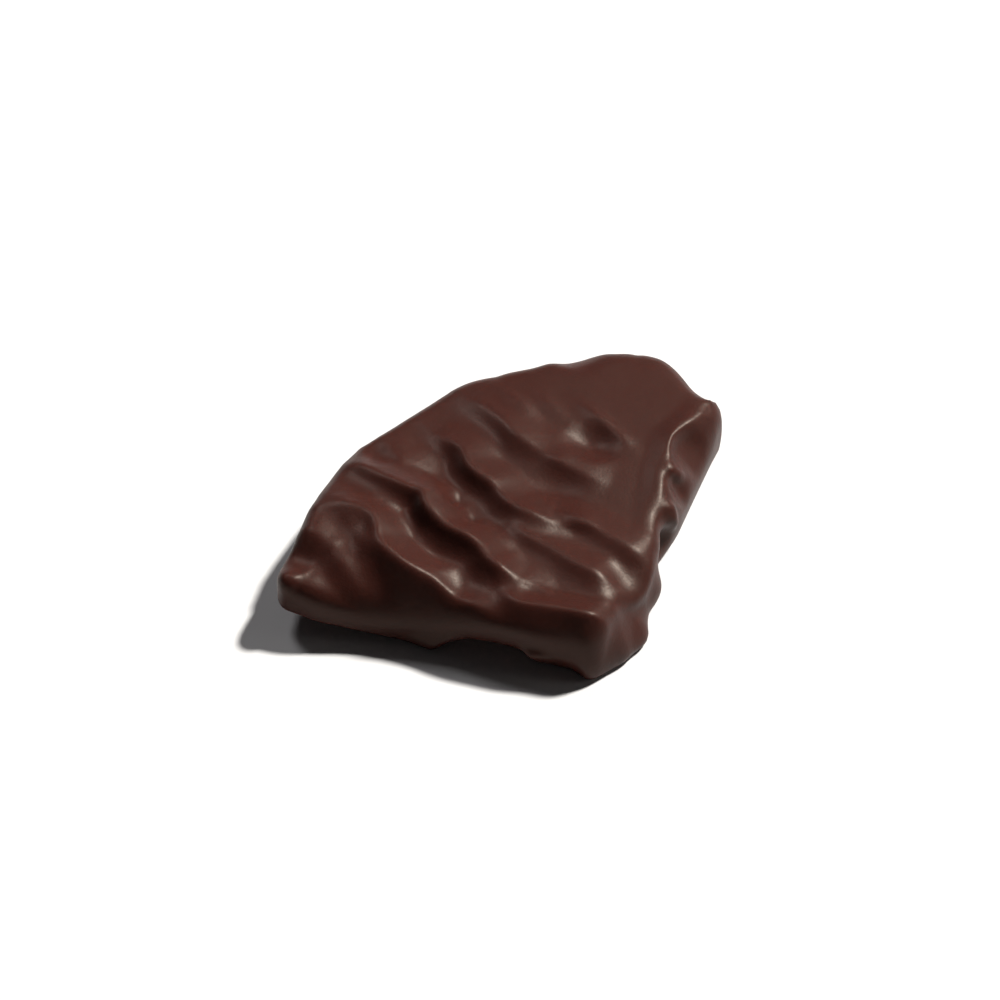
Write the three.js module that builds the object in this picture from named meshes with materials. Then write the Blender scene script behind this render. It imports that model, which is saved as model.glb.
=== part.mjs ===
// A quarter slice of orange under a coat of dark chocolate, lying on its flat underside with
// its left corner curled up. The tip of the quarter points to the front, the two cut sides run
// back to the left and to the right, and the rind side is the arc at the back. The coat has run
// towards the front left, so its top lies in folds that lean over that way.
// Units are millimetres and +Z is up. The model is made with the tip at zero, and then moved
// so that its origin is in the middle of the underside.

import * as THREE from "three";
import { ParametricGeometry } from "three/addons/geometries/ParametricGeometry.js";
import { mergeGeometries, mergeVertices } from "three/addons/utils/BufferGeometryUtils.js";

// Driving dimensions of the quarter before its coat has run.
const RADIUS = 36.5; // from the tip to the rind side
const THICKNESS = 6.5;
const LEFT_CUT = THREE.MathUtils.degToRad(163.5); // directions of the cut sides from the tip
const RIGHT_CUT = THREE.MathUtils.degToRad(69.5);
const TRIM_FACING = THREE.MathUtils.degToRad(153.5); // the way the blunt left corner faces
const TRIM_REACH = 33.9; // from the tip to where that corner is cut off
const TOP_ROUND = 1.9; // radius of the top edge
const FOOT_ROUND = 0.7; // radius of the bottom edge
const WALL_FREE = 0.4; // up to this height the side wall doesn't feel the folds
const CORNER_PASSES = 12; // each pass rounds the corners of the outline a little more
const RELAX_PASSES = 1; // each pass softens the folds a little more
const STEEPNESS = 1.7; // how much steeper the front of a fold gets towards its crest

// How finely the skin is divided.
const GRID = 49; // squares along each of the four stretches of the outline
const ROUND_STEPS = 3;
const WALL_STEPS = 5;
const FOOT_RINGS = [0.72, 0.48, 0.24]; // rings of the underside, as shares of its outline
const CREST_STEP = 0.3; // between two points of a fold's crest
const SAME_PLACE = 1e-4; // points closer than this are one

const heading = (angle) => new THREE.Vector2(Math.cos(angle), Math.sin(angle));

// The outline of the quarter with each side moved in by inset, as a closed loop of points in
// four stretches: tip to right corner, to the middle of the rind, to left corner, and back.
// The left corner is cut off bluntly.
function quarterLoop(inset) {
  const rind = RADIUS - inset;
  const trimmed = heading(TRIM_FACING);
  const trim = TRIM_REACH - inset;
  const tip = heading(LEFT_CUT)
    .add(heading(RIGHT_CUT))
    .multiplyScalar(inset / Math.sin(LEFT_CUT - RIGHT_CUT));
  const left = heading(LEFT_CUT);
  const leftCorner = left.clone().multiplyScalar((trim - trimmed.dot(tip)) / trimmed.dot(left));
  const first = RIGHT_CUT + Math.asin(inset / rind);
  const last = leftCorner.add(tip).angle();
  const onRind = (t) => {
    const way = heading(THREE.MathUtils.lerp(first, last, t));
    return way.multiplyScalar(Math.min(rind, trim / trimmed.dot(way)));
  };
  const stretches = [
    (t) => tip.clone().lerp(onRind(0), t),
    (t) => onRind(t / 2),
    (t) => onRind((1 + t) / 2),
    (t) => onRind(1).lerp(tip, t),
  ];
  const steps = Array.from({ length: GRID }, (_, i) => i / GRID);
  return softened(stretches.flatMap((stretch) => steps.map(stretch)));
}

// A closed loop with its corners rounded: every point moves towards its two neighbours.
function softened(loop) {
  let points = loop;
  for (let pass = 0; pass < CORNER_PASSES; pass++) {
    points = points.map((point, i) => {
      const before = points.at(i - 1);
      const after = points[(i + 1) % points.length];
      return before.clone().add(after).addScaledVector(point, 2).divideScalar(4);
    });
  }
  return points;
}

// The side of the slice from the foot to the top, as the inset and the height of each ring.
function sideProfile() {
  const rings = [];
  for (let i = 0; i <= ROUND_STEPS; i++) {
    const turn = (Math.PI / 2) * (i / ROUND_STEPS);
    rings.push([FOOT_ROUND * (1 - Math.sin(turn)), FOOT_ROUND * (1 - Math.cos(turn))]);
  }
  const shoulder = THICKNESS - TOP_ROUND;
  for (let i = 1; i < WALL_STEPS; i++) {
    rings.push([0, THREE.MathUtils.lerp(FOOT_ROUND, shoulder, i / WALL_STEPS)]);
  }
  for (let i = 0; i <= ROUND_STEPS; i++) {
    const turn = (Math.PI / 2) * (i / ROUND_STEPS);
    rings.push([TOP_ROUND * (1 - Math.cos(turn)), shoulder + TOP_ROUND * Math.sin(turn)]);
  }
  return rings;
}

// The side wall: one ring of points for each step of the profile.
function wallGeometry() {
  const rings = sideProfile().map(([inset, height]) => ({ loop: quarterLoop(inset), height }));
  const around = 4 * GRID;
  return new ParametricGeometry(
    (u, v, target) => {
      const { loop, height } = rings[Math.round(v * (rings.length - 1))];
      const point = loop[Math.round(u * around) % around];
      target.set(point.x, point.y, height);
    },
    around,
    rings.length - 1,
  );
}

// The flat top, filled in between the four stretches of its outline.
function topGeometry() {
  const loop = quarterLoop(TOP_ROUND);
  const [tip, right, back, left] = [0, 1, 2, 3].map((corner) => loop[corner * GRID]);
  return new ParametricGeometry(
    (u, v, target) => {
      const [across, along] = [Math.round(u * GRID), Math.round(v * GRID)];
      const rightRind = loop[GRID + across];
      const leftRind = loop[(4 * GRID - across) % (4 * GRID)];
      const leftSide = loop[2 * GRID + along];
      const rightSide = loop[GRID - along];
      const point = new THREE.Vector2()
        .addScaledVector(rightRind, 1 - v)
        .addScaledVector(leftRind, v)
        .addScaledVector(rightSide, 1 - u)
        .addScaledVector(leftSide, u)
        .addScaledVector(right, -(1 - u) * (1 - v))
        .addScaledVector(back, -u * (1 - v))
        .addScaledVector(left, -u * v)
        .addScaledVector(tip, -(1 - u) * v);
      target.set(point.x, point.y, THICKNESS);
    },
    GRID,
    GRID,
  );
}

// The flat underside, facing down: rings of its outline, each smaller than the one before, and
// a fan of triangles around its middle.
function footGeometry() {
  const outline = quarterLoop(FOOT_ROUND);
  const around = outline.length;
  const middle = new THREE.Vector2();
  for (const point of outline) middle.add(point);
  middle.divideScalar(around);
  const rings = [1, ...FOOT_RINGS];
  const ringPoints = rings.flatMap((share) =>
    outline.map((point) => middle.clone().lerp(point, share)),
  );
  const corners = [];
  for (let i = 0; i < around; i++) {
    const next = (i + 1) % around;
    for (let ring = 0; ring < FOOT_RINGS.length; ring++) {
      const outer = ring * around;
      const inner = outer + around;
      corners.push(outer + next, outer + i, inner + i);
      corners.push(outer + next, inner + i, inner + next);
    }
    const inmost = FOOT_RINGS.length * around;
    corners.push(inmost + next, inmost + i, inmost + around);
  }
  const foot = new THREE.BufferGeometry().setFromPoints([...ringPoints, middle]);
  foot.setIndex(corners);
  return foot;
}

// Eases from 0 to 1 with no kink at either end.
const ease = (t) => THREE.MathUtils.smoothstep(t, 0, 1);

// Moves the skin near a line of points, and less and less up to reach away from it. The
// underside stays on the floor unless the pull lifts it.
function push(skin, { line, move, reach, core = 0.4, lifts = false }) {
  const corners = line.map((corner) => new THREE.Vector3(...corner));
  const spans = corners.slice(1).map((corner, i) => new THREE.Line3(corners[i], corner));
  const point = new THREE.Vector3();
  const nearest = new THREE.Vector3();
  const shift = new THREE.Vector3(...move);
  for (let i = 0; i < skin.count; i++) {
    point.fromBufferAttribute(skin, i);
    const stays = point.z === 0 && !lifts;
    let gap = corners[0].distanceTo(point);
    for (const span of spans) {
      span.closestPointToPoint(point, true, nearest);
      gap = Math.min(gap, nearest.distanceTo(point));
    }
    point.addScaledVector(shift, ease(1 - Math.max(0, gap - core) / reach));
    skin.setXYZ(i, point.x, point.y, stays ? 0 : point.z);
  }
}

// A crest as a smooth line through its stops: places with their headings. What the stops hold
// beside x and y is blended in the same way.
function crestOf(line) {
  const along = line.map((_, i) => i);
  const curves = line[0].map((_, k) => {
    const track = new THREE.CubicInterpolant(along, line.map((stop) => stop[k]), 1);
    return (t) => track.evaluate(t)[0];
  });
  const places = [];
  for (let i = 0; i + 1 < line.length; i++) {
    const length = Math.hypot(line[i + 1][0] - line[i][0], line[i + 1][1] - line[i][1]);
    const steps = 1 + Math.floor(length / CREST_STEP);
    for (let j = 0; j < steps; j++) places.push(curves.map((curve) => curve(i + j / steps)));
  }
  places.push(line.at(-1));
  return places.map((place, i) => {
    const before = places[Math.max(i - 1, 0)];
    const after = places[Math.min(i + 1, places.length - 1)];
    return { place, heading: [after[0] - before[0], after[1] - before[1]] };
  });
}

// The place of a crest that is nearest to x and y: its stop, how far away it is, and whether
// x and y lie behind it. Seen along the crest, the front is on the right hand side.
function nearestOn(crest, x, y) {
  let nearest = crest[0];
  let gap = Infinity;
  for (const step of crest) {
    const distance = Math.hypot(x - step.place[0], y - step.place[1]);
    if (distance < gap) [nearest, gap] = [step, distance];
  }
  const { place, heading } = nearest;
  const behind = heading[0] * (y - place[1]) - heading[1] * (x - place[0]) > 0;
  return { place, gap, behind };
}

// Raises the folds on the top and lowers the long slope. A fold falls off evenly down its back,
// and steeply from its crest down its front. The side wall follows less and less on its way
// down.
function raiseFolds(skin) {
  const slope = crestOf(SLOPE);
  const folds = FOLDS.map((fold) => ({ ...fold, crest: crestOf(fold.line) }));
  const reach = THICKNESS - TOP_ROUND - WALL_FREE;
  for (let i = 0; i < skin.count; i++) {
    const [x, y, z] = [skin.getX(i), skin.getY(i), skin.getZ(i)];
    let height = 0;
    for (const { crest, front, back } of folds) {
      const { place, gap, behind } = nearestOn(crest, x, y);
      const near = Math.max(0, 1 - gap / (behind ? back : front));
      height += place[2] * (behind ? near : near ** STEEPNESS);
    }
    const { place, gap, behind } = nearestOn(slope, x, y);
    if (!behind) height -= place[2] * Math.min(1, gap / place[3]);
    skin.setZ(i, z + height * THREE.MathUtils.clamp((z - WALL_FREE) / reach, 0, 1));
  }
}

// A geometry with nothing but its places left, so that it can be joined to another.
function bare(geometry) {
  geometry.deleteAttribute("normal");
  geometry.deleteAttribute("uv");
  return geometry;
}

// Softens the skin above the foot: every point moves towards the middle of its neighbours.
function relax(body, passes) {
  const skin = body.getAttribute("position");
  const neighbours = Array.from({ length: skin.count }, () => new Set());
  const corners = body.index.array;
  for (let i = 0; i < corners.length; i += 3) {
    for (const [from, to] of [[0, 1], [1, 2], [2, 0]]) {
      neighbours[corners[i + from]].add(corners[i + to]);
      neighbours[corners[i + to]].add(corners[i + from]);
    }
  }
  const middle = new THREE.Vector3();
  const point = new THREE.Vector3();
  for (let pass = 0; pass < passes; pass++) {
    const before = skin.clone();
    neighbours.forEach((around, i) => {
      point.fromBufferAttribute(before, i);
      if (point.z === 0) return;
      middle.set(0, 0, 0);
      for (const other of around) middle.add(new THREE.Vector3().fromBufferAttribute(before, other));
      point.lerp(middle.divideScalar(around.size), 0.5);
      skin.setXYZ(i, point.x, point.y, point.z);
    });
  }
}

// What makes this quarter's outline its own.
const OUTLINE = [
  // the blunt left corner
  { line: [[-32, 9.5, 0], [-32, 9.5, 6]], core: 1, move: [0.8, 0.2, 0], reach: 4 },
  { line: [[-30.5, 15.5, 6.5]], core: 1, move: [0.5, 0.2, 0], reach: 4 },
  // the rind, flatter on the left and swollen near the right corner
  { line: [[-28, 25, 5], [-22, 30, 5]], move: [0.4, -0.5, 0], reach: 6 },
  { line: [[-12, 34, 5], [-5, 36, 5]], move: [-0.3, 1.6, 0], reach: 8 },
  { line: [[1, 37, 5], [5, 36.5, 5]], move: [0.6, 2.8, 0], reach: 8 },
  { line: [[4, 38.5, 6]], move: [0.1, 0.8, 0], reach: 4 },
  { line: [[-1.8, 38, 5.8]], core: 0.6, move: [0, -1.1, -0.2], reach: 3.2 },
  { line: [[6, 37.5, 5], [8, 37, 5]], move: [0.2, 0.5, 0], reach: 4 },
  { line: [[11.5, 35, 0], [11.5, 35, 6.5]], core: 1.5, move: [-0.3, -1.6, 0], reach: 5 },
  // the right side, with its waist
  { line: [[7.5, 20, 3], [11, 29, 3]], move: [0.8, -0.3, 0], reach: 6 },
  { line: [[4.4, 9.5, 1.5]], move: [1.3, -0.5, 0], reach: 6 },
  { line: [[2.0, 4.5, 1]], move: [1.3, -0.9, 0], reach: 4 },
  { line: [[5.9, 15.8, 3]], move: [-0.6, 0.1, 0], reach: 2.5 },
  { line: [[5.0, 11.5, 2]], move: [0.7, -0.2, 0], reach: 3 },
  { line: [[3.2, 6.5, 0.5]], move: [1.0, -0.5, 0], reach: 3 },
  // the left side
  { line: [[-16, 3.5, 1]], move: [0, -0.6, 0], reach: 4 },
];

// How the sides lean in: the top edge lies further in than the foot.
const SHOULDERS = [
  // it is thickest at the back right
  { line: [[-3, 31, 6.5], [4, 27, 6.5]], core: 2, move: [0, 0, 0.7], reach: 13 },
  { line: [[7.5, 22, 6.5], [9.5, 27, 6.5]], core: 0.5, move: [-0.9, 0.3, 0.2], reach: 3.5 },
  { line: [[4.2, 13, 6.5], [2.8, 9, 6.5]], core: 0.5, move: [1.0, -0.2, 0], reach: 4 },
  { line: [[-2, 1.8, 6.5], [0, 1.5, 6.5]], move: [-0.2, 0.8, 0], reach: 5 },
];

// The coat's lip, lifted and drawn in along the front left side.
const LIP = [
  { line: [[-13.5, 3.8, 0], [-9, 2.5, 0]], core: 0.6, move: [0.8, 2.6, 0], reach: 2.8 },
  { line: [[-6.5, 1.8, 0], [-3.5, 1, 0]], core: 0.4, move: [0.3, 1, 0], reach: 2.4 },
  { line: [[-11.5, 2.9, 1], [-6, 1.2, 1]], core: 0.5, move: [-0.1, -0.7, 0.7], reach: 2.4 },
];

// The long slope from the left edge of the top down to the left side, as [x, y, drop, width]
// along its upper end.
const SLOPE = [
  [-31, 18.5, 1.6, 4], [-28, 18.2, 2.1, 5], [-24.6, 17.4, 2.1, 6], [-22.4, 15.5, 2.1, 6.5],
  [-21.7, 12.9, 2.4, 5.5], [-20.7, 11, 2.8, 4.8], [-19.4, 9.4, 2.9, 3.8], [-18, 8.3, 2.8, 3.4],
  [-16.2, 7.3, 2.5, 3], [-14.2, 6, 2, 2.6], [-12, 4.6, 1.2, 2.4], [-10.5, 3.4, 0, 2],
];

// The folds, from the front left to the back right. Each crest runs from left to right as
// [x, y, height], and its front faces the way the coat has run.
const FOLDS = [
  { // the left edge of the top
    line: [[-26.5, 19, 0.3], [-24.6, 17.6, 1.0], [-22.6, 16.2, 1.4], [-21.9, 14.6, 1.5],
      [-21.7, 12.9, 1.5], [-20.9, 11.2, 1.6], [-19.4, 9.4, 1.7], [-18, 8.3, 1.6],
      [-16.2, 7.3, 1.1], [-14.2, 6, 0.5], [-12, 4.6, 0.2]],
    front: 2.6, back: 3.6,
  },
  { // two low ridges on the slope below it
    line: [[-29.8, 15.9, 0.5], [-27.8, 15.1, 0.7], [-26.4, 13.6, 0.7], [-25.4, 11.9, 0.7],
      [-24.4, 10.2, 0.5], [-23.6, 8.6, 0.2]],
    front: 2.2, back: 2.4,
  },
  {
    line: [[-25, 16.5, 0.2], [-24, 14.8, 0.4], [-23, 12.8, 0.4], [-21.5, 11.2, 0.3],
      [-20, 9.3, 0.2], [-18.5, 7.3, 0.1]],
    front: 1.4, back: 1.2,
  },
  { // the deepest fold
    line: [[-25, 23.5, 0.4], [-23.4, 22.4, 1.2], [-21.5, 20.8, 1.7], [-19.6, 19.4, 2.0],
      [-17.7, 18.1, 2.1], [-17.3, 16.6, 2.2], [-16.4, 15, 2.3], [-15, 13.5, 2.3],
      [-13.2, 12.4, 2.2], [-12, 11.4, 1.9], [-11.2, 10, 1.8], [-9.8, 8.5, 1.6],
      [-8.2, 7.6, 0.8]],
    front: 2.4, back: 4,
  },
  { line: [[-21.6, 26.8, 0.2], [-20.9, 25.4, 0.7], [-20, 24.4, 0.7], [-18.6, 23.6, 0.5],
      [-17, 23, 0.3], [-15.4, 22.6, 0.1]],
    front: 2, back: 3 },
  {
    line: [[-16.5, 27.6, 0.2], [-14.8, 26, 0.9], [-13.7, 24.6, 1.3], [-13.1, 22.6, 1.6],
      [-12.3, 21.3, 1.7], [-10.9, 20, 1.6], [-10.2, 19, 1.4], [-9.2, 17.5, 1.4],
      [-7.4, 16.2, 1.3], [-5.4, 15.3, 1.0], [-3.9, 14.9, 0.5]],
    front: 2.1, back: 4,
  },
  {
    line: [[-4.6, 16.4, 0.1], [-3.4, 16, 0.5], [-2, 15.3, 0.8], [0, 13.9, 0.9],
      [2.6, 12, 0.8], [4.2, 10.8, 0.2]],
    front: 2.6, back: 3.4,
  },
  {
    line: [[-13.2, 32.4, 0.2], [-12, 31.2, 0.6], [-9.8, 28.6, 1.0], [-8.2, 26.3, 1.1],
      [-5.6, 24.2, 0.7], [-3.8, 22.8, 0.9], [-1.2, 21.2, 0.6], [1, 20.3, 0.1]],
    front: 2.8, back: 4,
  },
  {
    line: [[-9.6, 15.6, 0.2], [-8.3, 14.4, 0.8], [-7.1, 13.3, 1.0], [-4.8, 11.6, 1.0],
      [-2.1, 9.4, 1.1], [-0.4, 8.3, 1.0], [1.4, 7.2, 0.4]],
    front: 2.8, back: 3.2,
  },
  {
    line: [[-9.8, 6.8, 0.3], [-9, 5.4, 0.9], [-7.9, 4.4, 1.1], [-6, 3.9, 1.2],
      [-4, 3.5, 1.2], [-1.5, 2.9, 1.2], [0.8, 2.6, 0.8]],
    front: 1.8, back: 3.2,
  },
  // low ripples at the back
  { line: [[-9.8, 33.6, 0.1], [-7.8, 31.4, 0.4], [-6.2, 29.3, 0.1]], front: 1.8, back: 1.6 },
  { line: [[-6.8, 33.2, 0.1], [-4.8, 30.7, 0.3], [-2.8, 28.5, 0.1]], front: 1.6, back: 1.6 },
  { line: [[-2.2, 31.8, 0.1], [-0.1, 29.3, 0.5], [1.7, 27.1, 0.5], [3.4, 25.2, 0.1]],
    front: 2.4, back: 1.2 },
  // the edge of the top along the right side
  { line: [[5.2, 13, 0.1], [5.8, 17.1, 0.3], [6.2, 20.3, 0.4], [6.8, 23.1, 0.4],
      [7.5, 26, 0.6], [9, 28, 0.5], [10.2, 30, 0.3]],
    front: 1.5, back: 2.4 },
];

// Where the coat has sunk between its folds.
const HOLLOWS = [
  // along the foot of the deepest fold
  { line: [[-20.6, 18.4, 7], [-19, 15.8, 7], [-17.8, 12.9, 7], [-15.6, 10.6, 7]],
    move: [0, 0, -0.1], reach: 1.8 },
  // behind its lobe, with a dimple
  { line: [[-15.8, 23, 7]], move: [0, 0, -0.25], reach: 3 },
  { line: [[-13.9, 18.4, 7.5]], move: [0, 0, -0.45], reach: 1.5 },
  { line: [[-21.6, 24.6, 7]], move: [0, 0, -0.5], reach: 1.6 },
  { line: [[-12.4, 15.9, 7.3], [-11.2, 17.2, 7.3]], move: [0, 0, -0.4], reach: 1.2 },
  // in front of the lobe's end
  { line: [[-13.8, 7.2, 6.5]], move: [0, 0, -0.6], reach: 2.8 },
  // on the broad terraces
  { line: [[-3.8, 20.8, 7]], move: [0, 0, -0.25], reach: 3 },
  { line: [[-0.6, 26, 7.5]], move: [0, 0, -0.7], reach: 3.4 },
  // at the left end
  { line: [[-30, 13, 7]], core: 0.6, move: [0, 0, -0.7], reach: 3 },
  // at the right end of the front terraces
  { line: [[3.4, 7.8, 6.8]], core: 0.6, move: [-0.1, 0, -1], reach: 3.8 },
  // on the right side
  { line: [[9, 25.8, 6.2]], core: 0.6, move: [-0.7, 0.2, -0.3], reach: 2.8 },
  { line: [[7.9, 21.1, 5.4]], move: [-0.5, 0.2, -0.1], reach: 1.8 },
  { line: [[6.6, 16.4, 3.4]], move: [-0.5, 0.2, 0], reach: 1.7 },
];

// Where it stands out between them.
const RIDGES = [
  // the lobe of the deepest fold
  { line: [[-15.7, 17.4, 8]], core: 0.8, move: [0, 0, 0.5], reach: 3 },
  // on the right side, from the edge of the top down
  { line: [[6.8, 22.5, 7], [8.6, 22.4, 5.4]], core: 0.2, move: [0.3, -0.2, 0.3], reach: 1.1 },
  { line: [[6.7, 18.1, 6], [7.2, 17.7, 4.4], [7.5, 17.5, 2.5]],
    core: 0.2, move: [0.5, -0.1, 0.1], reach: 1.2 },
];

// The left corner has curled up off the floor.
const CURL = {
  line: [[-31, 12, 0], [-31, 12, 6]],
  move: [0, -2.2, 2.4],
  reach: 17,
  lifts: true,
};

const MATERIAL = new THREE.MeshStandardMaterial({ color: 0x4a2e27, roughness: 0.32, metalness: 0 });

function chocolateSlice() {
  const body = mergeVertices(
    mergeGeometries([wallGeometry(), topGeometry(), footGeometry()].map(bare)),
    SAME_PLACE,
  );
  const skin = body.getAttribute("position");
  for (const pull of [...OUTLINE, ...SHOULDERS, ...LIP]) push(skin, pull);
  raiseFolds(skin);
  for (const pull of [...HOLLOWS, ...RIDGES]) push(skin, pull);
  relax(body, RELAX_PASSES);
  push(skin, CURL);
  body.computeBoundingBox();
  const middle = body.boundingBox.getCenter(new THREE.Vector3());
  body.translate(-middle.x, -middle.y, 0);
  body.computeVertexNormals();
  const slice = new THREE.Mesh(body, MATERIAL);
  slice.name = "chocolate_slice";
  return slice;
}

const part = new THREE.Group();
part.add(chocolateSlice());
export default part;
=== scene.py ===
# %% [markdown]
# # A quarter slice of orange in dark chocolate
# The real thing is one sweet: a quarter of a thin orange slice, dipped in dark chocolate and laid
# down flat to set. Before it set, the coat crept towards one side and stopped in folds. The model
# is one closed piece, because nothing but the coat can be seen. It takes the place of the plain
# CAD solid of the same slice, in the same place and at the same size.

# %% Load the frame
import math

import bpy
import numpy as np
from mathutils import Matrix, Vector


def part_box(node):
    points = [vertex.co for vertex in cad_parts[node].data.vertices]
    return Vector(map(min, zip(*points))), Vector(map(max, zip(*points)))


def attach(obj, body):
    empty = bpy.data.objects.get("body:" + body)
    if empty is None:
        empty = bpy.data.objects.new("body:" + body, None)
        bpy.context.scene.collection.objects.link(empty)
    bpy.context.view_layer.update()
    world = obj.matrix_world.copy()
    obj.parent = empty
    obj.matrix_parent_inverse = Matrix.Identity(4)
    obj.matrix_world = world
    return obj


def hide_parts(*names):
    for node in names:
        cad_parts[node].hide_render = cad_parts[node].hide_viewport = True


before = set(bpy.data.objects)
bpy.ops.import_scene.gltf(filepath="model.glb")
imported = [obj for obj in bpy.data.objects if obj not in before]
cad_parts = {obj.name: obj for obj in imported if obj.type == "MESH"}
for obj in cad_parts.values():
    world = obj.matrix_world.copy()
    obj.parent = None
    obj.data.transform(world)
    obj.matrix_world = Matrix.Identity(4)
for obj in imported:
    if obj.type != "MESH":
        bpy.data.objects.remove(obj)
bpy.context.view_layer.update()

# %% [markdown]
# ## Units and the box to stay in
# Blender counts in metres, and this sweet is a few centimetres long, so every size below is
# written in millimetres and multiplied by MM where a Blender tool needs it. The size of the CAD
# box is printed first.

MM = 0.001
seat_low, seat_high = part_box("chocolate_slice")
print("CAD slice, mm:", [round(side / MM, 2) for side in seat_high - seat_low])

# %% [markdown]
# ## The quarter before its coat has run
# A cook starts with a round slice and cuts it in quarters, and so does this step: a flat cylinder
# with its middle at zero is cut twice by bisect, each time keeping one side and closing the cut.
# A third cut takes off the sharp left corner, which is blunt on this slice. The tip of the quarter
# stays at zero while it is shaped, so every place below is measured from the tip. The rind is the
# arc at the back.

# %% Cut a quarter out of a round
RADIUS = 36.5  # from the tip to the rind
THICKNESS = 6.5
ROUND_SIDES = 240  # so many that the rind shows no corners
LEFT_CUT = math.radians(163.5)  # directions of the two cut sides from the tip
RIGHT_CUT = math.radians(69.5)
TRIM_FACING = math.radians(153.5)  # the way the blunt left corner faces
TRIM_REACH = 33.9  # from the tip to where that corner is cut off


def deselect_everything():
    """Leaves object mode with nothing selected, as an operator acts on all that is."""
    if bpy.context.object and bpy.context.object.mode != "OBJECT":
        bpy.ops.object.mode_set(mode="OBJECT")
    bpy.ops.object.select_all(action="DESELECT")


def cut_away(facing, reach=0):
    """Cuts off what lies further out than reach from the tip, in the direction of facing."""
    outwards = Vector((math.cos(facing), math.sin(facing), 0))
    bpy.ops.mesh.select_all(action="SELECT")
    bpy.ops.mesh.bisect(
        plane_co=outwards * reach * MM, plane_no=outwards, use_fill=True, clear_outer=True
    )


deselect_everything()
bpy.ops.mesh.primitive_cylinder_add(
    vertices=ROUND_SIDES,
    radius=RADIUS * MM,
    depth=THICKNESS * MM,
    location=(0, 0, THICKNESS / 2 * MM),
)
slice_piece = bpy.context.object
slice_piece.name = slice_piece.data.name = "chocolate_coat"
bpy.ops.object.transform_apply(location=True)
bpy.ops.object.mode_set(mode="EDIT")
cut_away(RIGHT_CUT - math.pi / 2)
cut_away(LEFT_CUT + math.pi / 2)
cut_away(TRIM_FACING, TRIM_REACH)
bpy.ops.object.mode_set(mode="OBJECT")
print("quarter, mm:", [round(side / MM, 2) for side in slice_piece.dimensions])

# %% [markdown]
# ## Round its corners and edges
# A coat of chocolate has no sharp edge. The upright corners are bevelled wide, then the rim of
# the top, and then the rim of the foot, which is the sharpest because it set on a flat tray.
# Edges are picked by where they lie: an upright corner is an edge whose ends differ only in
# height, and a rim is a boundary of the flat top or the flat foot.

# %% Bevel the corners and the two rims
CORNER_ROUND = 2.2
TOP_ROUND = 1.9
FOOT_ROUND = 0.7
WIDE_STEPS = 5  # faces across a wide bevel
FOOT_STEPS = 3
SAME_PLACE = 0.01  # places closer than this are one


def let_go():
    """Takes every point, edge and face of the slice out of the selection."""
    mesh = slice_piece.data
    for part in (mesh.vertices, mesh.edges, mesh.polygons):
        part.foreach_set("select", [False] * len(part))


def pick_edges(wanted):
    """Selects the edges of the slice that pass a test on the places of their two ends."""
    bpy.ops.object.mode_set(mode="OBJECT")
    let_go()
    for edge in slice_piece.data.edges:
        start, end = (slice_piece.data.vertices[i].co / MM for i in edge.vertices)
        edge.select = wanted(start, end)
    bpy.ops.object.mode_set(mode="EDIT")


def is_corner(start, end):
    """True for the upright edges where two sides of the quarter meet."""
    upright = (start - end).length > THICKNESS / 2 and (start - end).xy.length < SAME_PLACE
    sides = (LEFT_CUT + math.pi / 2, 0), (RIGHT_CUT - math.pi / 2, 0), (TRIM_FACING, TRIM_REACH)
    outs = [start.x * math.cos(way) + start.y * math.sin(way) - reach for way, reach in sides]
    return upright and min(abs(out) for out in outs) < SAME_PLACE


def on_level(height):
    """A test that picks the edges lying flat at one height."""
    return lambda start, end: max(abs(start.z - height), abs(end.z - height)) < SAME_PLACE


bpy.ops.object.mode_set(mode="EDIT")
bpy.ops.mesh.select_mode(type="EDGE")
for wanted, width, steps in (
    (is_corner, CORNER_ROUND, WIDE_STEPS),
    (on_level(THICKNESS), TOP_ROUND, WIDE_STEPS),
    (on_level(0), FOOT_ROUND, FOOT_STEPS),
):
    pick_edges(wanted)
    bpy.ops.mesh.bevel(offset=width * MM, segments=steps, affect="EDGES")
bpy.ops.object.mode_set(mode="OBJECT")
print("rounded quarter:", len(slice_piece.data.polygons), "faces")

# %% [markdown]
# ## An even skin to model in
# The bevelled quarter has long thin faces, and folds need small even ones. A voxel remesh lays an
# even net of squares over the whole body, like wet clay.

# %% Remesh to an even skin
SKIN_STEP = 0.3  # the side of one square of the net


def apply_modifier(kind, **settings):
    """Adds one modifier to the slice, with its settings, and applies it at once."""
    modifier = slice_piece.modifiers.new(kind.title(), kind)
    for name, value in settings.items():
        setattr(modifier, name, value)
    deselect_everything()
    slice_piece.select_set(True)
    bpy.context.view_layer.objects.active = slice_piece
    bpy.ops.object.modifier_apply(modifier=modifier.name)


apply_modifier("REMESH", mode="VOXEL", voxel_size=SKIN_STEP * MM)
print("skin:", len(slice_piece.data.vertices), "points")

# %% [markdown]
# ## Tools to take hold of the skin
# No two slices have the same outline. A pull takes hold of the skin near a point or a line and
# moves it a little, and its surroundings follow less and less, as with proportional editing by
# hand. A line is written as [x, y, z] in millimetres from the tip.

# %% Tools that hold, pull and press the skin
NEAR_TIP = 4  # how close to the tip a point has to be for the count at the end


def skin_points():
    """Where the points of the skin are, in millimetres, one row each."""
    places = np.empty(len(slice_piece.data.vertices) * 3)
    slice_piece.data.vertices.foreach_get("co", places)
    return places.reshape(-1, 3) / MM


def distance_to_line(points, line):
    """How far each point is from a line of straight spans, or from a single point."""
    line = np.array(line, float)
    gaps = np.linalg.norm(points - line[0], axis=1)
    for start, end in zip(line, line[1:]):
        span = end - start
        along = np.clip((points - start) @ span / (span @ span), 0, 1)
        gaps = np.minimum(gaps, np.linalg.norm(points - start - along[:, None] * span, axis=1))
    return gaps


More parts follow.
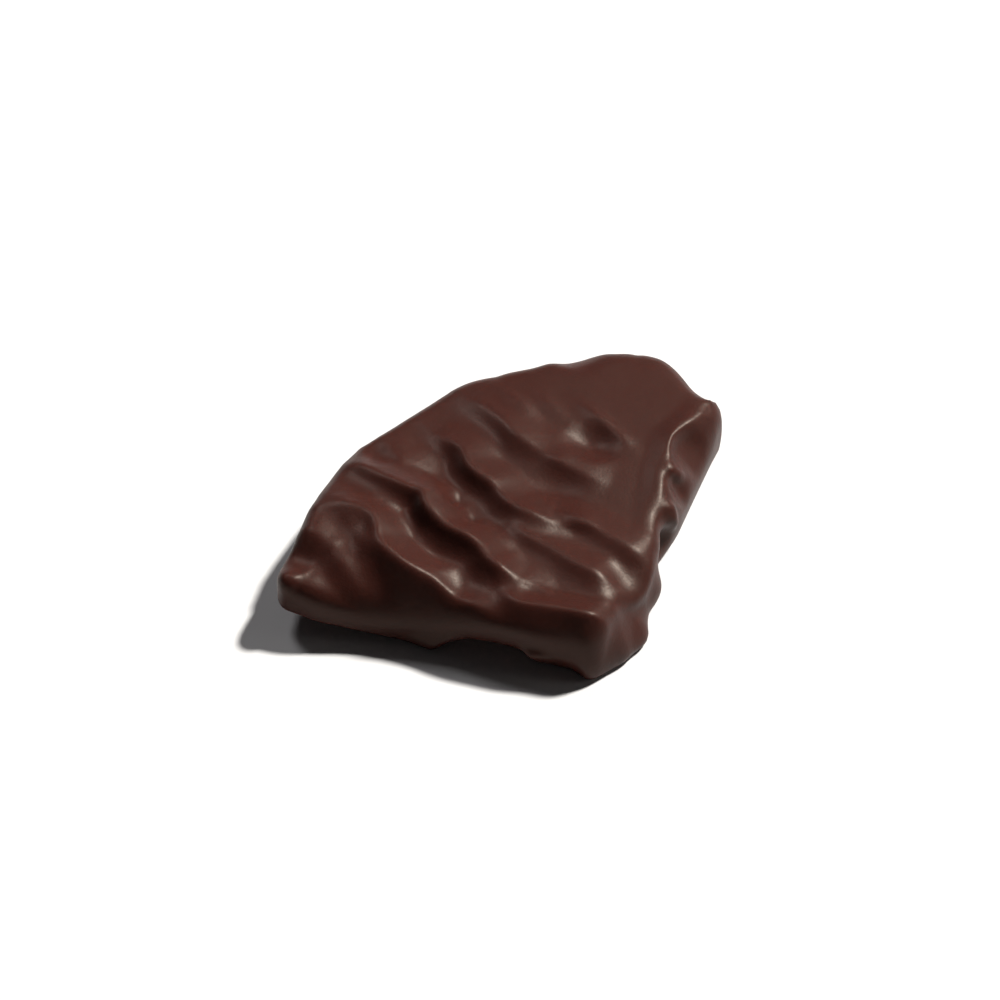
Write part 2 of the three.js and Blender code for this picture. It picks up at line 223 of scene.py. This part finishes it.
def hold(chosen):
    """Selects the chosen points of the skin, ready for an edit mode tool."""
    deselect_everything()
    bpy.context.view_layer.objects.active = slice_piece
    let_go()
    slice_piece.data.vertices.foreach_set("select", chosen)
    bpy.ops.object.mode_set(mode="EDIT")


def pull(line, move, reach, core=0.4):
    """Moves the skin near a line, and its surroundings up to reach away less and less."""
    gaps = distance_to_line(skin_points(), line)
    hold(gaps <= max(core, gaps.min() + SAME_PLACE))
    bpy.ops.transform.translate(
        value=[step * MM for step in move],
        use_proportional_edit=True,
        proportional_edit_falloff="SMOOTH",
        proportional_size=reach * MM,
    )
    bpy.ops.object.mode_set(mode="OBJECT")


def flatten_foot(foot):
    """Presses the points that began on the tray back to it."""
    hold(foot)
    bpy.ops.transform.resize(value=(1, 1, 0), center_override=(0, 0, 0))
    bpy.ops.object.mode_set(mode="OBJECT")


bpy.context.tool_settings.mesh_select_mode = (True, False, False)
near_tip = distance_to_line(skin_points(), [[0, 0, 0]]) < NEAR_TIP
print("points near the tip:", int(near_tip.sum()))

# %% [markdown]
# ## Pull the outline into shape
# The first pulls give the outline: the rind is flat on the left and swollen near the right
# corner, and the right side has a waist. The next ones make the slice thickest at the back right
# and lean its sides in. The last ones lift and draw in the lip of the coat along the front left,
# where it stands clear of the tray. The foot is pressed flat again at the end, because the real
# slice set on a tray.

# %% Pulls that give the outline
FOOT_LEVEL = 0.02  # points below this height are on the tray
OUTLINE_PULLS = [
    # the blunt left corner
    {"line": [[-32, 9.5, 0], [-32, 9.5, 6]], "core": 1, "move": (0.8, 0.2, 0), "reach": 4},
    {"line": [[-30.5, 15.5, 6.5]], "core": 1, "move": (0.5, 0.2, 0), "reach": 4},
    # the rind, flatter on the left and swollen near the right corner
    {"line": [[-28, 25, 5], [-22, 30, 5]], "move": (0.4, -0.5, 0), "reach": 6},
    {"line": [[-12, 34, 5], [-5, 36, 5]], "move": (-0.3, 1.6, 0), "reach": 8},
    {"line": [[1, 37, 5], [5, 36.5, 5]], "move": (0.6, 2.8, 0), "reach": 8},
    {"line": [[4, 38.5, 6]], "move": (0.1, 0.8, 0), "reach": 4},
    {"line": [[-1.8, 38, 5.8]], "core": 0.6, "move": (0, -1.1, -0.2), "reach": 3.2},
    {"line": [[6, 37.5, 5], [8, 37, 5]], "move": (0.2, 0.5, 0), "reach": 4},
    {"line": [[11.5, 35, 0], [11.5, 35, 6.5]], "core": 1.5, "move": (-0.3, -1.6, 0), "reach": 5},
    # the right side, with its waist
    {"line": [[7.5, 20, 3], [11, 29, 3]], "move": (0.8, -0.3, 0), "reach": 6},
    {"line": [[4.4, 9.5, 1.5]], "move": (1.3, -0.5, 0), "reach": 6},
    {"line": [[2.0, 4.5, 1]], "move": (1.3, -0.9, 0), "reach": 4},
    {"line": [[5.9, 15.8, 3]], "move": (-0.6, 0.1, 0), "reach": 2.5},
    {"line": [[5.0, 11.5, 2]], "move": (0.7, -0.2, 0), "reach": 3},
    {"line": [[3.2, 6.5, 0.5]], "move": (1.0, -0.5, 0), "reach": 3},
    # the left side
    {"line": [[-16, 3.5, 1]], "move": (0, -0.6, 0), "reach": 4},
]
SHOULDER_PULLS = [
    # it is thickest at the back right
    {"line": [[-3, 31, 6.5], [4, 27, 6.5]], "core": 2, "move": (0, 0, 0.7), "reach": 13},
    {"line": [[7.5, 22, 6.5], [9.5, 27, 6.5]], "core": 0.5, "move": (-0.9, 0.3, 0.2), "reach": 3.5},
    {"line": [[4.2, 13, 6.5], [2.8, 9, 6.5]], "core": 0.5, "move": (1.0, -0.2, 0), "reach": 4},
    {"line": [[-2, 1.8, 6.5], [0, 1.5, 6.5]], "move": (-0.2, 0.8, 0), "reach": 5},
]
LIP_PULLS = [
    {"line": [[-13.5, 3.8, 0], [-9, 2.5, 0]], "core": 0.6, "move": (0.8, 2.6, 0), "reach": 2.8},
    {"line": [[-6.5, 1.8, 0], [-3.5, 1, 0]], "core": 0.4, "move": (0.3, 1, 0), "reach": 2.4},
    {"line": [[-11.5, 2.9, 1], [-6, 1.2, 1]], "core": 0.5, "move": (-0.1, -0.7, 0.7), "reach": 2.4},
]
foot = skin_points()[:, 2] < FOOT_LEVEL
for pulls in (OUTLINE_PULLS, SHOULDER_PULLS, LIP_PULLS):
    for one in pulls:
        pull(**one)
flatten_foot(foot)
print("outline pulled, mm:", [round(side / MM, 2) for side in slice_piece.dimensions])

# %% [markdown]
# ## Where the folds run
# While the coat was still soft it crept to the front left, and it stopped in folds, like a
# blanket that is pushed along a bed. Each fold has a crest, a steep front on the side it crept
# to, and a long gentle back. A crest is written as a few stops, (x, y, height), from left to
# right. Seen along it, its front is on the right hand side, and front and back say how far the
# fold reaches on each side. The top also drops off in one long slope towards the left side, and
# the stops of its upper end are (x, y, drop, width).

# %% The crests of the folds and the long slope
SLOPE = [
    (-31, 18.5, 1.6, 4), (-28, 18.2, 2.1, 5), (-24.6, 17.4, 2.1, 6), (-22.4, 15.5, 2.1, 6.5),
    (-21.7, 12.9, 2.4, 5.5), (-20.7, 11, 2.8, 4.8), (-19.4, 9.4, 2.9, 3.8), (-18, 8.3, 2.8, 3.4),
    (-16.2, 7.3, 2.5, 3), (-14.2, 6, 2, 2.6), (-12, 4.6, 1.2, 2.4), (-10.5, 3.4, 0, 2),
]
FOLDS = [
    {  # the left edge of the top
        "line": [(-26.5, 19, 0.3), (-24.6, 17.6, 1.0), (-22.6, 16.2, 1.4), (-21.9, 14.6, 1.5),
                 (-21.7, 12.9, 1.5), (-20.9, 11.2, 1.6), (-19.4, 9.4, 1.7), (-18, 8.3, 1.6),
                 (-16.2, 7.3, 1.1), (-14.2, 6, 0.5), (-12, 4.6, 0.2)],
        "front": 2.6, "back": 3.6,
    },
    {  # two low ridges on the slope below it
        "line": [(-29.8, 15.9, 0.5), (-27.8, 15.1, 0.7), (-26.4, 13.6, 0.7), (-25.4, 11.9, 0.7),
                 (-24.4, 10.2, 0.5), (-23.6, 8.6, 0.2)],
        "front": 2.2, "back": 2.4,
    },
    {
        "line": [(-25, 16.5, 0.2), (-24, 14.8, 0.4), (-23, 12.8, 0.4), (-21.5, 11.2, 0.3),
                 (-20, 9.3, 0.2), (-18.5, 7.3, 0.1)],
        "front": 1.4, "back": 1.2,
    },
    {  # the deepest fold
        "line": [(-25, 23.5, 0.4), (-23.4, 22.4, 1.2), (-21.5, 20.8, 1.7), (-19.6, 19.4, 2.0),
                 (-17.7, 18.1, 2.1), (-17.3, 16.6, 2.2), (-16.4, 15, 2.3), (-15, 13.5, 2.3),
                 (-13.2, 12.4, 2.2), (-12, 11.4, 1.9), (-11.2, 10, 1.8), (-9.8, 8.5, 1.6),
                 (-8.2, 7.6, 0.8)],
        "front": 2.4, "back": 4,
    },
    # a short one behind its left end
    {"line": [(-21.6, 26.8, 0.2), (-20.9, 25.4, 0.7), (-20, 24.4, 0.7), (-18.6, 23.6, 0.5),
              (-17, 23, 0.3), (-15.4, 22.6, 0.1)],
     "front": 2, "back": 3},
    {  # the long fold in the middle of the top
        "line": [(-16.5, 27.6, 0.2), (-14.8, 26, 0.9), (-13.7, 24.6, 1.3), (-13.1, 22.6, 1.6),
                 (-12.3, 21.3, 1.7), (-10.9, 20, 1.6), (-10.2, 19, 1.4), (-9.2, 17.5, 1.4),
                 (-7.4, 16.2, 1.3), (-5.4, 15.3, 1.0), (-3.9, 14.9, 0.5)],
        "front": 2.1, "back": 4,
    },
    {  # where it fades out to the right
        "line": [(-4.6, 16.4, 0.1), (-3.4, 16, 0.5), (-2, 15.3, 0.8), (0, 13.9, 0.9),
                 (2.6, 12, 0.8), (4.2, 10.8, 0.2)],
        "front": 2.6, "back": 3.4,
    },
    {  # the fold behind it
        "line": [(-13.2, 32.4, 0.2), (-12, 31.2, 0.6), (-9.8, 28.6, 1.0), (-8.2, 26.3, 1.1),
                 (-5.6, 24.2, 0.7), (-3.8, 22.8, 0.9), (-1.2, 21.2, 0.6), (1, 20.3, 0.1)],
        "front": 2.8, "back": 4,
    },
    {  # in front of the long fold, towards the tip
        "line": [(-9.6, 15.6, 0.2), (-8.3, 14.4, 0.8), (-7.1, 13.3, 1.0), (-4.8, 11.6, 1.0),
                 (-2.1, 9.4, 1.1), (-0.4, 8.3, 1.0), (1.4, 7.2, 0.4)],
        "front": 2.8, "back": 3.2,
    },
    {  # along the front edge of the top, near the tip
        "line": [(-9.8, 6.8, 0.3), (-9, 5.4, 0.9), (-7.9, 4.4, 1.1), (-6, 3.9, 1.2),
                 (-4, 3.5, 1.2), (-1.5, 2.9, 1.2), (0.8, 2.6, 0.8)],
        "front": 1.8, "back": 3.2,
    },
    # low ripples at the back
    {"line": [(-9.8, 33.6, 0.1), (-7.8, 31.4, 0.4), (-6.2, 29.3, 0.1)], "front": 1.8, "back": 1.6},
    {"line": [(-6.8, 33.2, 0.1), (-4.8, 30.7, 0.3), (-2.8, 28.5, 0.1)], "front": 1.6, "back": 1.6},
    {"line": [(-2.2, 31.8, 0.1), (-0.1, 29.3, 0.5), (1.7, 27.1, 0.5), (3.4, 25.2, 0.1)],
     "front": 2.4, "back": 1.2},
    # the edge of the top along the right side
    {"line": [(5.2, 13, 0.1), (5.8, 17.1, 0.3), (6.2, 20.3, 0.4), (6.8, 23.1, 0.4),
              (7.5, 26, 0.6), (9, 28, 0.5), (10.2, 30, 0.3)],
     "front": 1.5, "back": 2.4},
]
tallest = max(FOLDS, key=lambda fold: max(stop[2] for stop in fold["line"]))
print(len(FOLDS), "folds, the highest", max(stop[2] for stop in tallest["line"]), "mm")

# %% [markdown]
# ## From stops to a smooth crest
# Each pair of stops is joined by a Bezier curve. Its handles are a third of the heading at each
# stop, which points from the stop before to the stop after, so the crest bends without a corner
# and its height swells and fades in the same way. Each point of the skin then looks for the
# nearest place of the crest. The height of a fold falls off from there, evenly down its back, and
# down its front more and more gently, as a scarp of sand does.

# %% Smooth crests and the height that a fold adds
CREST_STEP = 0.25  # between two places of a crest
STEEPNESS = 1.7  # how much steeper the front of a fold gets towards its crest


def crest_of(line):
    """A smooth line through the stops of a crest, as places with their headings."""
    stops = np.array(line, float)
    handles = np.gradient(stops, axis=0) / 3
    spans = []
    for start, end, leave, arrive in zip(stops, stops[1:], handles, handles[1:]):
        steps = 1 + int(np.linalg.norm(end - start) / CREST_STEP)
        t = np.linspace(0, 1, steps, endpoint=False)[:, None]
        u = 1 - t
        near = u**3 * start + 3 * u * u * t * (start + leave)
        far = 3 * u * t * t * (end - arrive) + t**3 * end
        spans.append(near + far)
    places = np.concatenate(spans + [stops[-1:]])
    return places, np.gradient(places, axis=0)


def nearest_on(crest, points):
    """For each point: the nearest place of a crest, how far it is, and if it lies behind it."""
    places, headings = crest_of(crest)
    gaps = np.linalg.norm(points[:, None, :2] - places[None, :, :2], axis=2)
    nearest = gaps.argmin(axis=1)
    offset = points[:, :2] - places[nearest, :2]
    heading = headings[nearest]
    behind = heading[:, 0] * offset[:, 1] - heading[:, 1] * offset[:, 0] > 0
    return places[nearest], gaps[np.arange(len(points)), nearest], behind


def fold_heights(points, fold):
    """How high one fold stands over each point, steep in front and gentle at the back."""
    place, gap, behind = nearest_on(fold["line"], points)
    near = np.clip(1 - gap / np.where(behind, fold["back"], fold["front"]), 0, 1)
    return place[:, 2] * np.where(behind, near, near**STEEPNESS)


def slope_heights(points):
    """How far the long slope lies below the flat top."""
    place, gap, behind = nearest_on(SLOPE, points)
    return np.where(behind, 0, -place[:, 2] * np.clip(gap / place[:, 3], 0, 1))


print("the highest fold is", len(crest_of(tallest["line"])[0]), "places long")

# %% [markdown]
# ## Raise the folds
# The heights are written into a vertex group, and a Displace modifier lifts each point by its
# weight, the same as weights painted by hand. Weights can't be less than zero, so what rises and
# what sinks take a group each. The side walls follow too, less and less on their way down, which
# draws each fold over the edge as a soft bulge.

# %% Raise the folds on the top
WALL_FREE = 0.4  # up to this height the side wall doesn't feel the folds


def shift_upright(name, height):
    """Moves the points of the skin up or down by a height each, with a Displace modifier."""
    strength = height[np.abs(height).argmax()]
    group = slice_piece.vertex_groups.new(name=name)
    for i in np.flatnonzero(height):
        group.add([int(i)], height[i] / strength, "REPLACE")
    apply_modifier(
        "DISPLACE", direction="Z", mid_level=0, strength=strength * MM, vertex_group=name
    )


points = skin_points()
share = np.clip((points[:, 2] - WALL_FREE) / (THICKNESS - TOP_ROUND - WALL_FREE), 0, 1)
height = share * (slope_heights(points) + sum(fold_heights(points, fold) for fold in FOLDS))
print("the folds run from", round(height.min(), 2), "to", round(height.max(), 2), "mm")
shift_upright("raised", np.clip(height, 0, None))
shift_upright("sunk", np.clip(height, None, 0))

# %% [markdown]
# ## Hollows and small ridges
# Between the folds the coat has sunk here and there: into dimples, along the foot of the deepest
# fold, into a bowl at the back, at the left end, and where the front terraces end at the right.
# The deepest fold bulges into a round lobe, and on the right side low ridges run down from the
# edge of the top. They are pulls like the ones before, with a short reach.

# %% Hollows and small ridges
HOLLOWS = [
    # along the foot of the deepest fold
    {"line": [[-20.6, 18.4, 7], [-19, 15.8, 7], [-17.8, 12.9, 7], [-15.6, 10.6, 7]],
     "move": (0, 0, -0.1), "reach": 1.8},
    # behind it and its lobe
    {"line": [[-15.8, 23, 7]], "move": (0, 0, -0.25), "reach": 3},
    {"line": [[-13.9, 18.4, 7.5]], "move": (0, 0, -0.45), "reach": 1.5},
    {"line": [[-21.6, 24.6, 7]], "move": (0, 0, -0.45), "reach": 2.4},
    {"line": [[-12.4, 15.9, 7.3], [-11.2, 17.2, 7.3]], "move": (0, 0, -0.4), "reach": 1.2},
    # in front of the lobe's end
    {"line": [[-13.8, 7.2, 6.5]], "move": (0, 0, -0.6), "reach": 2.8},
    # on the broad terraces, with the bowl at the back
    {"line": [[-3.8, 20.8, 7]], "move": (0, 0, -0.25), "reach": 3},
    {"line": [[-0.6, 26, 7.5]], "move": (0, 0, -0.7), "reach": 3.4},
    # at the left end
    {"line": [[-30, 13, 7]], "core": 0.6, "move": (0, 0, -0.7), "reach": 3},
    # at the right end of the front terraces
    {"line": [[3.4, 7.8, 6.8]], "core": 0.6, "move": (-0.1, 0, -1), "reach": 3.8},
    # on the right side
    {"line": [[9, 25.8, 6.2]], "core": 0.6, "move": (-0.7, 0.2, -0.3), "reach": 2.8},
    {"line": [[7.9, 21.1, 5.4]], "move": (-0.5, 0.2, -0.1), "reach": 1.8},
    {"line": [[6.6, 16.4, 3.4]], "move": (-0.5, 0.2, 0), "reach": 1.7},
]
RIDGES = [
    # the lobe of the deepest fold
    {"line": [[-15.7, 17.4, 8]], "core": 0.8, "move": (0, 0, 0.5), "reach": 3},
    # on the right side, from the edge of the top down
    {"line": [[6.8, 22.5, 7], [8.6, 22.4, 5.4]], "core": 0.2, "move": (0.3, -0.2, 0.3), "reach": 1.1},
    {"line": [[6.7, 18.1, 6], [7.2, 17.7, 4.4], [7.5, 17.5, 2.5]],
     "core": 0.2, "move": (0.5, -0.1, 0.1), "reach": 1.2},
]
for one in HOLLOWS + RIDGES:
    pull(**one)
print(len(HOLLOWS), "hollows and", len(RIDGES), "small ridges")

# %% [markdown]
# ## Let it settle
# Wet chocolate rounds itself off. A little smoothing does the same to the crests and takes away
# the steps that the remesh left. The foot is left out and pressed flat once more.

# %% Smooth the skin a little
SETTLE_PASSES = 2
SETTLE_SHARE = 0.5

hold(~foot)
bpy.ops.mesh.vertices_smooth(factor=SETTLE_SHARE, repeat=SETTLE_PASSES)
bpy.ops.object.mode_set(mode="OBJECT")
flatten_foot(foot)
print("settled, mm:", [round(side / MM, 2) for side in slice_piece.dimensions])

# %% [markdown]
# ## Lift the left corner
# In the photograph the shadow of the left corner lies well away from it, so that corner doesn't
# touch the floor: the candied fruit inside has curled. One wide pull lifts it, and the rest of
# the foot stays flat.

# %% Curl the left corner up
CURL = {"line": [[-31, 12, 0], [-31, 12, 6]], "move": (0, -2.2, 2.4), "reach": 17}

pull(**CURL)
print("share of the foot that lies flat:", round((skin_points()[foot, 2] < FOOT_LEVEL).mean(), 2))

# %% [markdown]
# ## Set it in its place
# The frame has its zero in the middle of the underside. The slice is moved there and the move is
# applied, so that the object itself stays at the origin. Smooth shading comes last.

# %% Move the slice to the frame's zero
points = skin_points()
low, high = points.min(axis=0), points.max(axis=0)
middle = (low + high) / 2
deselect_everything()
slice_piece.select_set(True)
bpy.context.view_layer.objects.active = slice_piece
slice_piece.location = (-middle[0] * MM, -middle[1] * MM, -low[2] * MM)
bpy.ops.object.transform_apply(location=True)
bpy.ops.object.shade_smooth()
print("box, mm:", (high - low).round(2), "middle, from the tip:", middle.round(2))

# %% [markdown]
# ## Shader maths in plain sums
# Each step of a shader is a node, and a row of Math nodes is hard to read. This small class wraps
# the output of a node, so that a sum such as `0.3 + 0.1 * grain` or `1 - cloud` adds the nodes
# for it.

# %% A small way to write shader maths
def find_socket(sockets, name):
    """The socket in use with that name, or the one at that place in the row."""
    if isinstance(name, int):
        return sockets[name]
    return next(socket for socket in sockets if socket.enabled and socket.name == name)


class Link:
    """The output of a shader node, which can be added, taken away and multiplied."""

    tree = None

    def __init__(self, socket):
        self.socket = socket

    @classmethod
    def node(cls, kind, settings=None, values=None, out=0):
        """Adds a node, sets it up, and gives one of its outputs."""
        node = cls.tree.nodes.new(kind)
        for name, value in (settings or {}).items():
            setattr(node, name, value)
        for name, value in (values or {}).items():
            socket = find_socket(node.inputs, name)
            if isinstance(value, Link):
                cls.tree.links.new(value.socket, socket)
            else:
                socket.default_value = value
        return cls(find_socket(node.outputs, out))

    @classmethod
    def mix(cls, factor, first, second):
        """A blend of two colours, from the first at 0 to the second at 1."""
        values = {"Factor": factor, "A": first, "B": second}
        return cls.node("ShaderNodeMix", {"data_type": "RGBA"}, values, out="Result")

    def maths(self, operation, other, swap=False):
        """A Math node of this output and another, or of the two in the other order."""
        pair = (other, self) if swap else (self, other)
        return Link.node("ShaderNodeMath", {"operation": operation}, dict(enumerate(pair)))

    def __add__(self, other):
        return self.maths("ADD", other)

    __radd__ = __add__

    def __rsub__(self, other):
        return self.maths("SUBTRACT", other, swap=True)

    def __mul__(self, other):
        return self.maths("MULTIPLY", other)

    __rmul__ = __mul__


print("sums that a link can take: add, subtract and multiply")

# %% [markdown]
# ## The chocolate
# Dark chocolate is deep brown, and light goes a short way into it and comes back redder, which
# warms the shaded sides of the folds: that is the subsurface part. Its gloss is soft, because
# cocoa butter sets in a fine grain, so two noises break it up: a fine one for the grain and a
# broader one for the faint unevenness of a hand-dipped coat. A third, very broad one makes the
# brown a little lighter in some places, and its gloss a little duller in the others. The noises
# read Object coordinates, so the pattern stays with the piece.

# %% Chocolate
DEEP_BROWN = (0.030, 0.0081, 0.0059, 1)
LIGHT_BROWN = (0.038, 0.0101, 0.0073, 1)
PLAIN_ROUGHNESS = 0.33  # before the noises add theirs
GRAIN_ROUGHNESS = 0.14
CLOUD_ROUGHNESS = 0.06
GRAIN_RELIEF = 0.016  # height of the fine grain
DIP_RELIEF = 0.02
GLOSS = {
    "IOR": 1.45,
    "Specular IOR Level": 0.22,
    "Specular Tint": (1, 0.88, 0.75, 1),
    "Subsurface Weight": 0.5,
    "Subsurface Radius": (1, 0.3, 0.2),
    "Subsurface Scale": 0.0015,
}

coat = bpy.data.materials.new("dark_chocolate")
coat.use_nodes = True
Link.tree = coat.node_tree
shader = coat.node_tree.nodes["Principled BSDF"]
place = Link.node("ShaderNodeTexCoord", out="Object")


def noise(size, detail):
    """A cloudy pattern with patches of about size millimetres."""
    values = {"Vector": place, "Scale": 1 / (size * MM), "Detail": detail}
    return Link.node("ShaderNodeTexNoise", values=values)


grain = noise(size=0.29, detail=2)
dips = noise(size=1.1, detail=1)
cloud = noise(size=5.6, detail=3)
brown = Link.mix(cloud, DEEP_BROWN, LIGHT_BROWN)
roughness = PLAIN_ROUGHNESS + GRAIN_ROUGHNESS * grain + CLOUD_ROUGHNESS * (1 - cloud)
relief = GRAIN_RELIEF * grain + DIP_RELIEF * dips
bump = Link.node("ShaderNodeBump", values={"Distance": MM, "Height": relief})
for name, link in (("Base Color", brown), ("Roughness", roughness), ("Normal", bump)):
    coat.node_tree.links.new(link.socket, shader.inputs[name])
for name, value in GLOSS.items():
    shader.inputs[name].default_value = value
slice_piece.data.materials.clear()
slice_piece.data.materials.append(coat)
print("chocolate:", len(coat.node_tree.nodes), "nodes")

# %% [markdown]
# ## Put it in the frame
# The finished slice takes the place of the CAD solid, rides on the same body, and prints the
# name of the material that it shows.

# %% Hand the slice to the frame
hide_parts("chocolate_slice")
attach(slice_piece, "root")
print(slice_piece.name, "takes the place of chocolate_slice, in", slice_piece.active_material.name)

# %% [markdown]
# ## The floor
# The photograph has a plain white floor that runs out of the picture. A matt plane does, wide
# enough to have no edge in sight.

# %% A plain pale floor
FLOOR_SIDE = 3  # metres
FLOOR_COLOR = (0.62, 0.62, 0.62, 1)
FLOOR_ROUGHNESS = 0.9

deselect_everything()
bpy.ops.mesh.primitive_plane_add(size=FLOOR_SIDE, location=(0, 0, 0))
floor = bpy.context.object
floor.name = "floor"
pale = bpy.data.materials.new("pale_floor")
pale.use_nodes = True
pale_inputs = pale.node_tree.nodes["Principled BSDF"].inputs
pale_inputs["Base Color"].default_value = FLOOR_COLOR
pale_inputs["Roughness"].default_value = FLOOR_ROUGHNESS
floor.data.materials.append(pale)
print("floor, metres:", floor.dimensions.x, "by", floor.dimensions.y)

# %% [markdown]
# ## Light
# The shadow falls to the front left and is sharp near the piece, so the main lamp is small and
# stands at the back right, about halfway up the sky. It is the one that draws the dark fronts of
# the folds and the bright spots where the coat turns down to the right. A weak lamp at the back
# left, a weaker one low on the right, and a room that is almost dark keep the shadows from going
# black.

# %% Lamps and the room
AIM_HEIGHT = 0.005  # the middle of the piece, in metres
ROOM_COLOR = (1, 0.93, 0.95, 1)
ROOM_STRENGTH = 0.022


def from_sky(azimuth, elevation):
    """The direction of a place in the sky, by its degrees round from +X and up."""
    around, up = math.radians(azimuth), math.radians(elevation)
    return Vector((math.cos(up) * math.cos(around), math.cos(up) * math.sin(around), math.sin(up)))


def add_lamp(name, direction, distance, size, strength, color):
    """A round lamp that faces the piece, as strong there as a sun of the same strength."""
    light = bpy.data.lights.new(name, "AREA")
    light.shape = "DISK"
    light.size = size
    light.energy = strength * math.pi * distance**2
    light.color = color
    lamp = bpy.data.objects.new(name, light)
    bpy.context.scene.collection.objects.link(lamp)
    lamp.location = Vector((0, 0, AIM_HEIGHT)) + direction * distance
    lamp.rotation_euler = direction.to_track_quat("Z", "Y").to_euler()


add_lamp("key", from_sky(36, 50), distance=2, size=0.2, strength=6.9, color=(1, 0.97, 0.93))
add_lamp("fill", from_sky(125, 48), distance=0.8, size=0.2, strength=0.7, color=(1, 0.98, 1))
add_lamp("side", from_sky(-5, 25), distance=0.8, size=0.3, strength=0.15, color=(1, 0.97, 0.95))
room = bpy.data.worlds.new("room")
bpy.context.scene.world = room
room.use_nodes = True
room_light = room.node_tree.nodes["Background"].inputs
room_light["Color"].default_value = ROOM_COLOR
room_light["Strength"].default_value = ROOM_STRENGTH
bpy.context.scene.view_settings.view_transform = "Standard"
print("lamps:", [light.name for light in bpy.data.lights], "and the", room.name)

# %% [markdown]
# ## Camera
# The camera looks down at 47 degrees from the front, as in the photograph, and from far away
# through a long lens, because the slice shows almost no perspective.

# %% Camera
ELEVATION = math.radians(47)
AIM_FROM_TIP = (-9.8, 24.8)  # the place on the floor at the middle of the picture, mm
DISTANCE = 0.5  # metres
SENSOR_WIDTH = 36  # mm, as wide as a frame of 35 mm film
LENS = 180  # mm
NEAREST = 0.01  # metres, as near as the camera can see

aim = Vector((AIM_FROM_TIP[0] - middle[0], AIM_FROM_TIP[1] - middle[1], 0)) * MM
camera = bpy.data.objects.new("camera", bpy.data.cameras.new("camera"))
bpy.context.scene.collection.objects.link(camera)
camera.data.sensor_width = SENSOR_WIDTH
camera.data.lens = LENS
camera.data.clip_start = NEAREST
camera.location = aim + DISTANCE * Vector((0, -math.cos(ELEVATION), math.sin(ELEVATION)))
camera.rotation_euler = (math.pi / 2 - ELEVATION, 0, 0)
bpy.context.scene.camera = camera
print("camera at, mm:", [round(side / MM) for side in camera.location])
